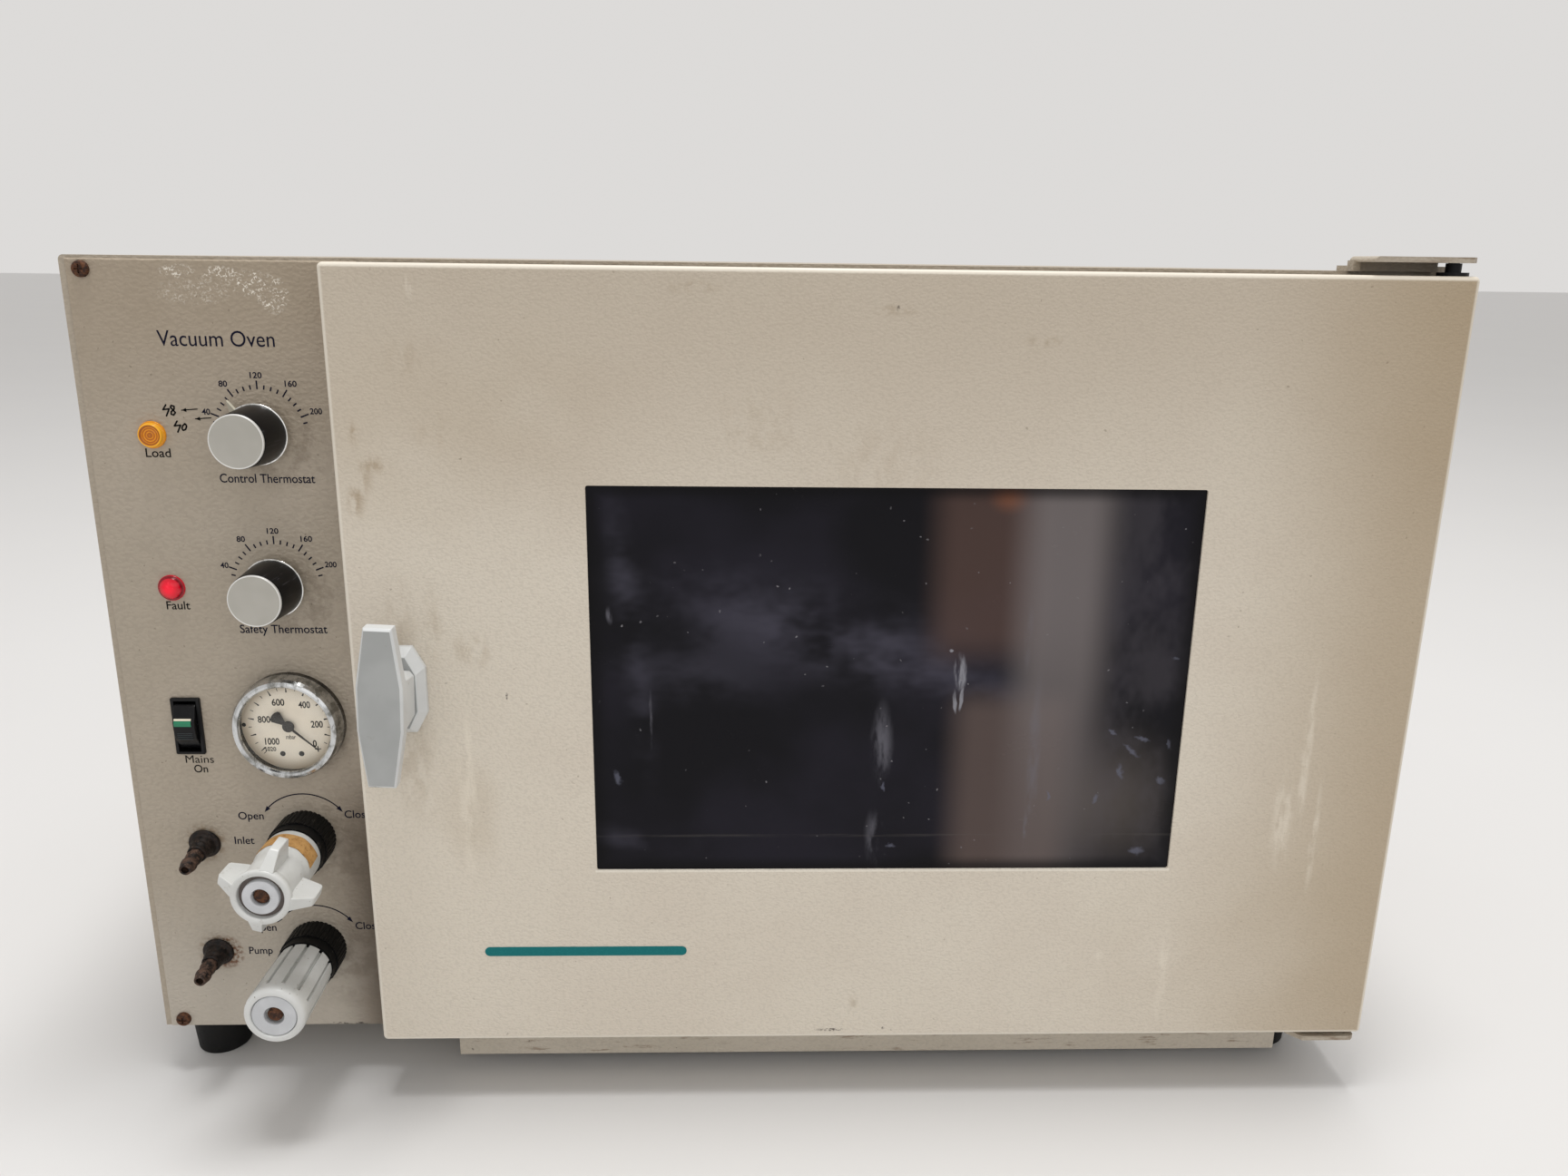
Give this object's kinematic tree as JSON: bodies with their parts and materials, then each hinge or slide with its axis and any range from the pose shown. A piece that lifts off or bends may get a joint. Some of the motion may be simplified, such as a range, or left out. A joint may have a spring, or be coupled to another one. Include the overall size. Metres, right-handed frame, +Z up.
{
  "type": "laboratory vacuum oven",
  "caption": "Bench-top vacuum oven: sheet-metal box with a glazed, right-hinged door, T-handle latch, thermostat dials, gauge, vacuum valves and hose tails.",
  "frame": {"origin": "centre of the bounding box's bottom face, on the surface that the feet stand on", "axes": "+X to the right when facing the door, +Z up, the door and the control panel face -Y"},
  "size_m": [0.798, 0.5594, 0.5423],
  "materials": {
    "case_paint": "textured semi-matte",
    "rusty_steel": "rusted",
    "black_rubber": "matt",
    "steel": "satin",
    "silicone": "matt",
    "heater": "matt",
    "wool": "fibrous",
    "alloy": "satin",
    "door_paint": "textured semi-matte",
    "dark_glass": "gloss tinted",
    "clear_glass": "clear",
    "black_plastic": "satin",
    "grey_plastic": "satin",
    "amber": "clear coloured",
    "red": "clear coloured",
    "chrome": "pitted bright",
    "brass": "dull",
    "glossy_black": "gloss",
    "dial": "matt",
    "light_plastic": "satin",
    "corroded": "corroded"
  },
  "bodies": {
    "case": {"case_wrap": "case_paint", "base_tray": "case_paint", "back_panel": "case_paint", "front_fascia": "case_paint", "control_panel": "case_paint", "case_screws": "rusty_steel", "feet": "black_rubber", "top_hinge_plate": "case_paint", "bottom_hinge_plate": "case_paint", "hinge_pins": "steel", "latch_keeper": "steel", "chamber_vessel": "steel", "chamber_flange": "steel", "door_gasket": "silicone", "heater_mats": "heater", "insulation_jacket": "wool", "shelf_runners": "alloy", "shelves": "alloy", "load_lamp_lens": "amber", "fault_lamp_lens": "red", "lamp_bodies": "black_plastic", "thermostats": "brass", "thermostat_sensors": "brass", "switch_housing": "black_plastic", "gauge_case": "black_plastic", "gauge_bezel": "chrome", "gauge_window": "clear_glass", "gauge_dial": "dial", "valve_bodies": "brass", "valve_collars": "black_plastic", "hose_nozzles": "corroded", "nozzle_grommets": "black_rubber", "vacuum_pipes": "steel", "mains_inlet": "black_plastic"},
    "door": {"door_skin": "door_paint", "door_liner": "door_paint", "door_window": "dark_glass", "inner_glass": "clear_glass", "glass_cushion": "black_rubber", "hinge_bushes": "black_plastic", "handle_escutcheon": "grey_plastic"},
    "latch": {"t_handle": "grey_plastic", "latch_spindle": "steel", "latch_cam": "steel"},
    "control_dial": {"control_knob": "black_plastic", "control_knob_skirt": "chrome", "control_knob_cap": "alloy", "control_spindle": "steel"},
    "safety_dial": {"safety_knob": "black_plastic", "safety_knob_skirt": "chrome", "safety_knob_cap": "alloy", "safety_spindle": "steel"},
    "mains_rocker": {"rocker": "glossy_black"},
    "gauge_needle": {"gauge_pointer": "black_plastic"},
    "inlet_handwheel": {"inlet_valve_knob": "light_plastic", "inlet_valve_cap": "light_plastic", "inlet_valve_spindle": "rusty_steel"},
    "pump_handwheel": {"pump_valve_knob": "light_plastic", "pump_valve_cap": "light_plastic", "pump_valve_spindle": "rusty_steel"}
  },
  "joints": [
    {"name": "door_hinge", "type": "hinge", "parent": "case", "child": "door", "pos_m": [0.3905, -0.21825, 0.2882], "axis": [0, 0, 1], "range_deg": [0, 110]},
    {"name": "latch_turn", "type": "hinge", "parent": "door", "child": "latch", "pos_m": [-0.2185, -0.23325, 0.2872], "axis": [0, 1, 0], "range_deg": [0, 90]},
    {"name": "control_thermostat_turn", "type": "hinge", "parent": "case", "child": "control_dial", "pos_m": [-0.295, -0.23325, 0.4346], "axis": [0, 1, 0], "range_deg": [-65, 117]},
    {"name": "safety_thermostat_turn", "type": "hinge", "parent": "case", "child": "safety_dial", "pos_m": [-0.2945, -0.23325, 0.3424], "axis": [0, 1, 0], "range_deg": [-5, 177]},
    {"name": "mains_rocker_tilt", "type": "hinge", "parent": "case", "child": "mains_rocker", "pos_m": [-0.3585, -0.19925, 0.251], "axis": [1, 0, 0], "range_deg": [-14, 0]},
    {"name": "inlet_valve_turn", "type": "hinge", "parent": "case", "child": "inlet_handwheel", "pos_m": [-0.293, -0.23325, 0.174], "axis": [0, -1, 0], "range_deg": [0, 360]},
    {"name": "pump_valve_turn", "type": "hinge", "parent": "case", "child": "pump_handwheel", "pos_m": [-0.293, -0.23325, 0.0947], "axis": [0, -1, 0], "range_deg": [0, 360]},
    {"name": "gauge_needle_turn", "type": "hinge", "parent": "case", "child": "gauge_needle", "pos_m": [-0.294, -0.21125, 0.2535], "axis": [0, -1, 0], "range_deg": [0, 270], "stiffness_Nm_per_rad": 0.001}
  ]
}
